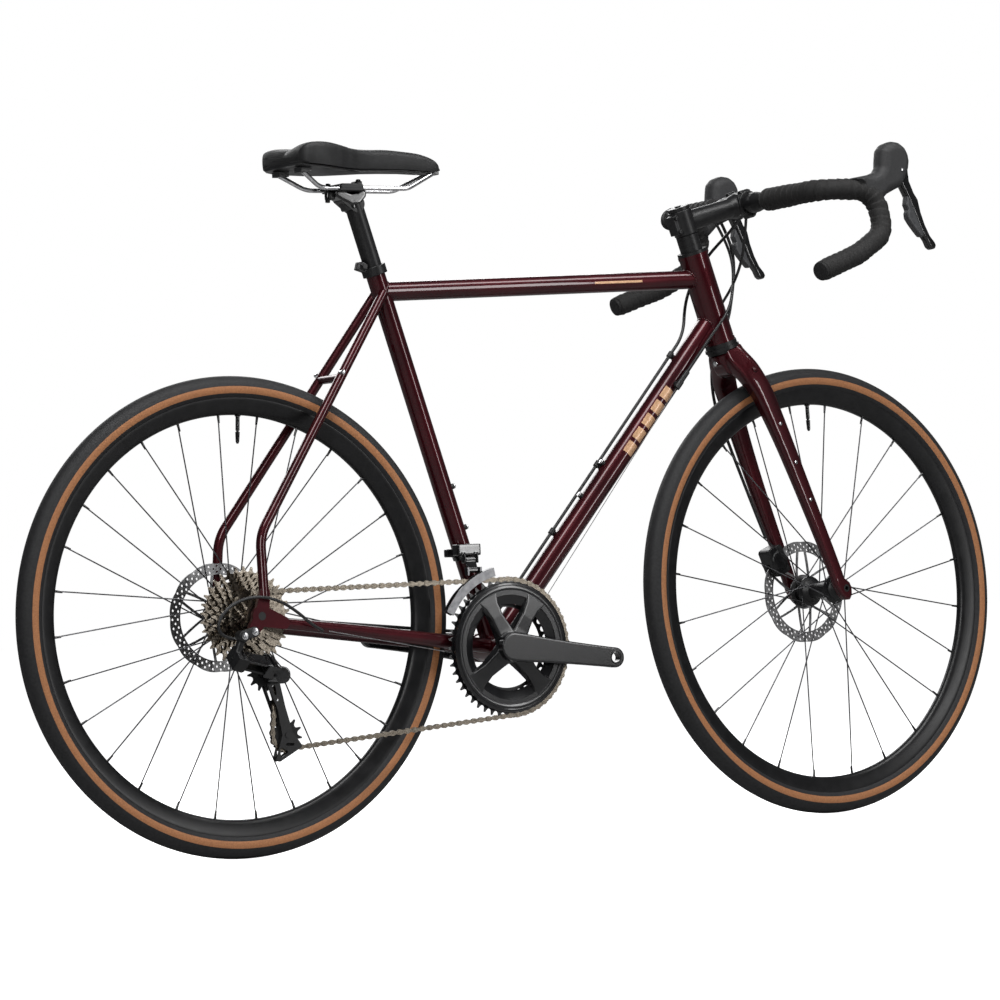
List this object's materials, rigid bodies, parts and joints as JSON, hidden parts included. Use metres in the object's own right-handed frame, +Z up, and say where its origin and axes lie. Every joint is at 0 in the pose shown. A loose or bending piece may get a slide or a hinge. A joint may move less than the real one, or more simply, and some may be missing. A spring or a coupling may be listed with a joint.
{
  "type": "road bicycle",
  "caption": "Drop-bar road bicycle with steel frame, disc brakes, thru axles, double crankset and derailleur gears; steering, wheels, cranks and levers move.",
  "frame": {"origin": "on the ground under the middle of the wheelbase, on the frame's centre plane", "axes": "+X forward, +Y to the rider's left, +Z up"},
  "size_m": [1.7292, 0.5299, 1.0369],
  "materials": {
    "frame_paint": "gloss",
    "black_metal": "satin anodised",
    "black_plastic": "matte",
    "gloss_black": "gloss",
    "grey_plastic": "matte",
    "steel": "brushed",
    "silver": "polished",
    "tyre": "matte",
    "rubber": "matte",
    "tape": "matte",
    "saddle_cover": "matte"
  },
  "bodies": {
    "frame": {"top_tube": "frame_paint", "down_tube": "frame_paint", "seat_tube": "frame_paint", "head_tube": "frame_paint", "bottom_bracket": "frame_paint", "seat_stays": "frame_paint", "chain_stays": "frame_paint", "dropouts": "frame_paint", "headset_cups": "black_metal", "seat_clamp": "black_metal", "frame_fittings": "black_metal", "rear_brake_hose": "rubber", "shift_cables": "rubber", "rear_caliper": "black_metal", "rear_thru_axle": "black_metal", "chain": "steel", "fd_clamp": "black_metal", "rd_b_knuckle": "black_metal"},
    "steering": {"fork": "frame_paint", "headset_spacers": "black_metal", "stem": "black_metal", "stem_faceplate": "black_metal", "handlebar": "black_metal", "bar_tape": "tape", "lever_bodies": "rubber", "front_caliper": "black_metal", "front_brake_hose": "rubber", "front_thru_axle": "black_metal"},
    "front_wheel": {"front_tyre": "tyre", "front_rim": "black_metal", "front_spokes": "steel", "front_hub": "black_metal", "front_rotor": "steel"},
    "rear_wheel": {"rear_tyre": "tyre", "rear_rim": "black_metal", "rear_spokes": "steel", "rear_hub": "black_metal", "rear_rotor": "steel"},
    "cassette": {"cassette_sprockets": "steel", "freehub_body": "silver"},
    "crankset": {"right_crank": "gloss_black", "left_crank": "gloss_black", "outer_chainring": "gloss_black", "inner_chainring": "steel"},
    "rd_outer_arm": {"rd_outer_link": "silver"},
    "rd_inner_arm": {"rd_inner_link": "black_metal"},
    "rd_lower_body": {"rd_p_knuckle": "black_metal"},
    "rd_cage_body": {"rd_cage": "black_metal"},
    "guide_wheel": {"guide_pulley": "black_plastic"},
    "tension_wheel": {"tension_pulley": "black_plastic"},
    "fd_arm": {"fd_link": "black_metal"},
    "fd_guide": {"fd_cage": "silver"},
    "left_lever": {"left_brake_lever": "gloss_black"},
    "right_lever": {"right_brake_lever": "gloss_black"},
    "left_paddle": {"left_shift_paddle": "grey_plastic"},
    "right_paddle": {"right_shift_paddle": "grey_plastic"},
    "post": {"seatpost": "black_metal"},
    "seat_cradle": {"saddle_clamp": "gloss_black"},
    "saddle": {"saddle_base": "black_plastic", "saddle_pad": "saddle_cover"}
  },
  "joints": [
    {"name": "steering", "type": "hinge", "parent": "frame", "child": "steering", "pos_m": [0.47756, 0, 0.33502], "axis": [-0.309, 0, 0.9511], "range_deg": [-65.6, 54.4], "deforming": ["rear_brake_hose", "shift_cables", "front_brake_hose"]},
    {"name": "front_wheel_spin", "type": "hinge", "parent": "steering", "child": "front_wheel", "pos_m": [0.51731, 0.0041, 0.34794], "axis": [-0.0928, 0.9952, -0.0302], "continuous": true},
    {"name": "rear_wheel_spin", "type": "hinge", "parent": "frame", "child": "rear_wheel", "pos_m": [-0.5175, 0, 0.348], "axis": [0, 1, 0], "continuous": true},
    {"name": "crank_spin", "type": "hinge", "parent": "frame", "child": "crankset", "pos_m": [-0.089, 0, 0.285], "axis": [0, 1, 0], "continuous": true, "deforming": ["chain"]},
    {"name": "cassette_spin", "type": "hinge", "parent": "frame", "child": "cassette", "pos_m": [-0.5175, 0, 0.348], "axis": [0, 1, 0], "continuous": true},
    {"name": "rd_outer_link_hinge", "type": "hinge", "parent": "frame", "child": "rd_outer_arm", "pos_m": [-0.5544, -0.08585, 0.2922], "axis": [0.0534, 0.7544, 0.6543], "range_deg": [-36, 59]},
    {"name": "rd_inner_link_hinge", "type": "hinge", "parent": "frame", "child": "rd_inner_arm", "pos_m": [-0.55807, -0.07685, 0.28213], "axis": [0.0534, 0.7544, 0.6543], "range_deg": [-36, 59]},
    {"name": "rd_lower_body_hinge", "type": "hinge", "parent": "rd_outer_arm", "child": "rd_lower_body", "pos_m": [-0.512, -0.08, 0.282], "axis": [0.0534, 0.7544, 0.6543], "range_deg": [-59, 36]},
    {"name": "rd_cage_hinge", "type": "hinge", "parent": "rd_lower_body", "child": "rd_cage_body", "pos_m": [-0.494, -0.047, 0.263], "axis": [0, 1, 0], "range_deg": [-40, 35], "stiffness_Nm_per_rad": 1},
    {"name": "guide_pulley_spin", "type": "hinge", "parent": "rd_cage_body", "child": "guide_wheel", "pos_m": [-0.503, -0.047, 0.266], "axis": [0, 1, 0], "continuous": true},
    {"name": "tension_pulley_spin", "type": "hinge", "parent": "rd_cage_body", "child": "tension_wheel", "pos_m": [-0.47056, -0.047, 0.17565], "axis": [0, 1, 0], "continuous": true},
    {"name": "fd_link_hinge", "type": "hinge", "parent": "frame", "child": "fd_arm", "pos_m": [-0.14, -0.031, 0.418], "axis": [1, 0, 0], "range_deg": [0, 25]},
    {"name": "fd_cage_hinge", "type": "hinge", "parent": "fd_arm", "child": "fd_guide", "pos_m": [-0.14, -0.037, 0.401], "axis": [1, 0, 0], "range_deg": [-25, 0]},
    {"name": "left_brake_lever_pull", "type": "hinge", "parent": "steering", "child": "left_lever", "pos_m": [0.53274, 0.23059, 0.97742], "axis": [-0.0928, 0.9952, -0.0302], "range_deg": [0, 22], "stiffness_Nm_per_rad": 1.5},
    {"name": "left_shift_paddle_push", "type": "hinge", "parent": "left_lever", "child": "left_paddle", "pos_m": [0.53591, 0.22835, 0.94347], "axis": [0.9284, 0.0974, 0.3585], "range_deg": [-14, 0], "stiffness_Nm_per_rad": 0.3},
    {"name": "right_brake_lever_pull", "type": "hinge", "parent": "steering", "child": "right_lever", "pos_m": [0.57079, -0.17745, 0.98978], "axis": [-0.0928, 0.9952, -0.0302], "range_deg": [0, 22], "stiffness_Nm_per_rad": 1.5},
    {"name": "right_shift_paddle_push", "type": "hinge", "parent": "right_lever", "child": "right_paddle", "pos_m": [0.57369, -0.1767, 0.95575], "axis": [0.9284, 0.0974, 0.3585], "range_deg": [0, 14], "stiffness_Nm_per_rad": 0.3},
    {"name": "seatpost_height", "type": "slide", "parent": "frame", "child": "post", "axis": [-0.2974, 0, 0.9548], "range_m": [-0.06, 0.04]},
    {"name": "saddle_tilt", "type": "hinge", "parent": "post", "child": "seat_cradle", "pos_m": [-0.311, 0, 0.962], "axis": [0, 1, 0], "range_deg": [-8, 8]},
    {"name": "saddle_setback", "type": "slide", "parent": "seat_cradle", "child": "saddle", "axis": [1, 0, 0], "range_m": [-0.012, 0.018]}
  ],
  "couplings": [
    {"joint": "cassette_spin", "follows": "crank_spin", "ratio": 2.9412},
    {"joint": "guide_pulley_spin", "follows": "crank_spin", "ratio": -4.5455},
    {"joint": "tension_pulley_spin", "follows": "crank_spin", "ratio": 4.5455},
    {"joint": "rd_inner_link_hinge", "follows": "rd_outer_link_hinge", "ratio": 1},
    {"joint": "rd_lower_body_hinge", "follows": "rd_outer_link_hinge", "ratio": -1},
    {"joint": "fd_cage_hinge", "follows": "fd_link_hinge", "ratio": -1}
  ]
}
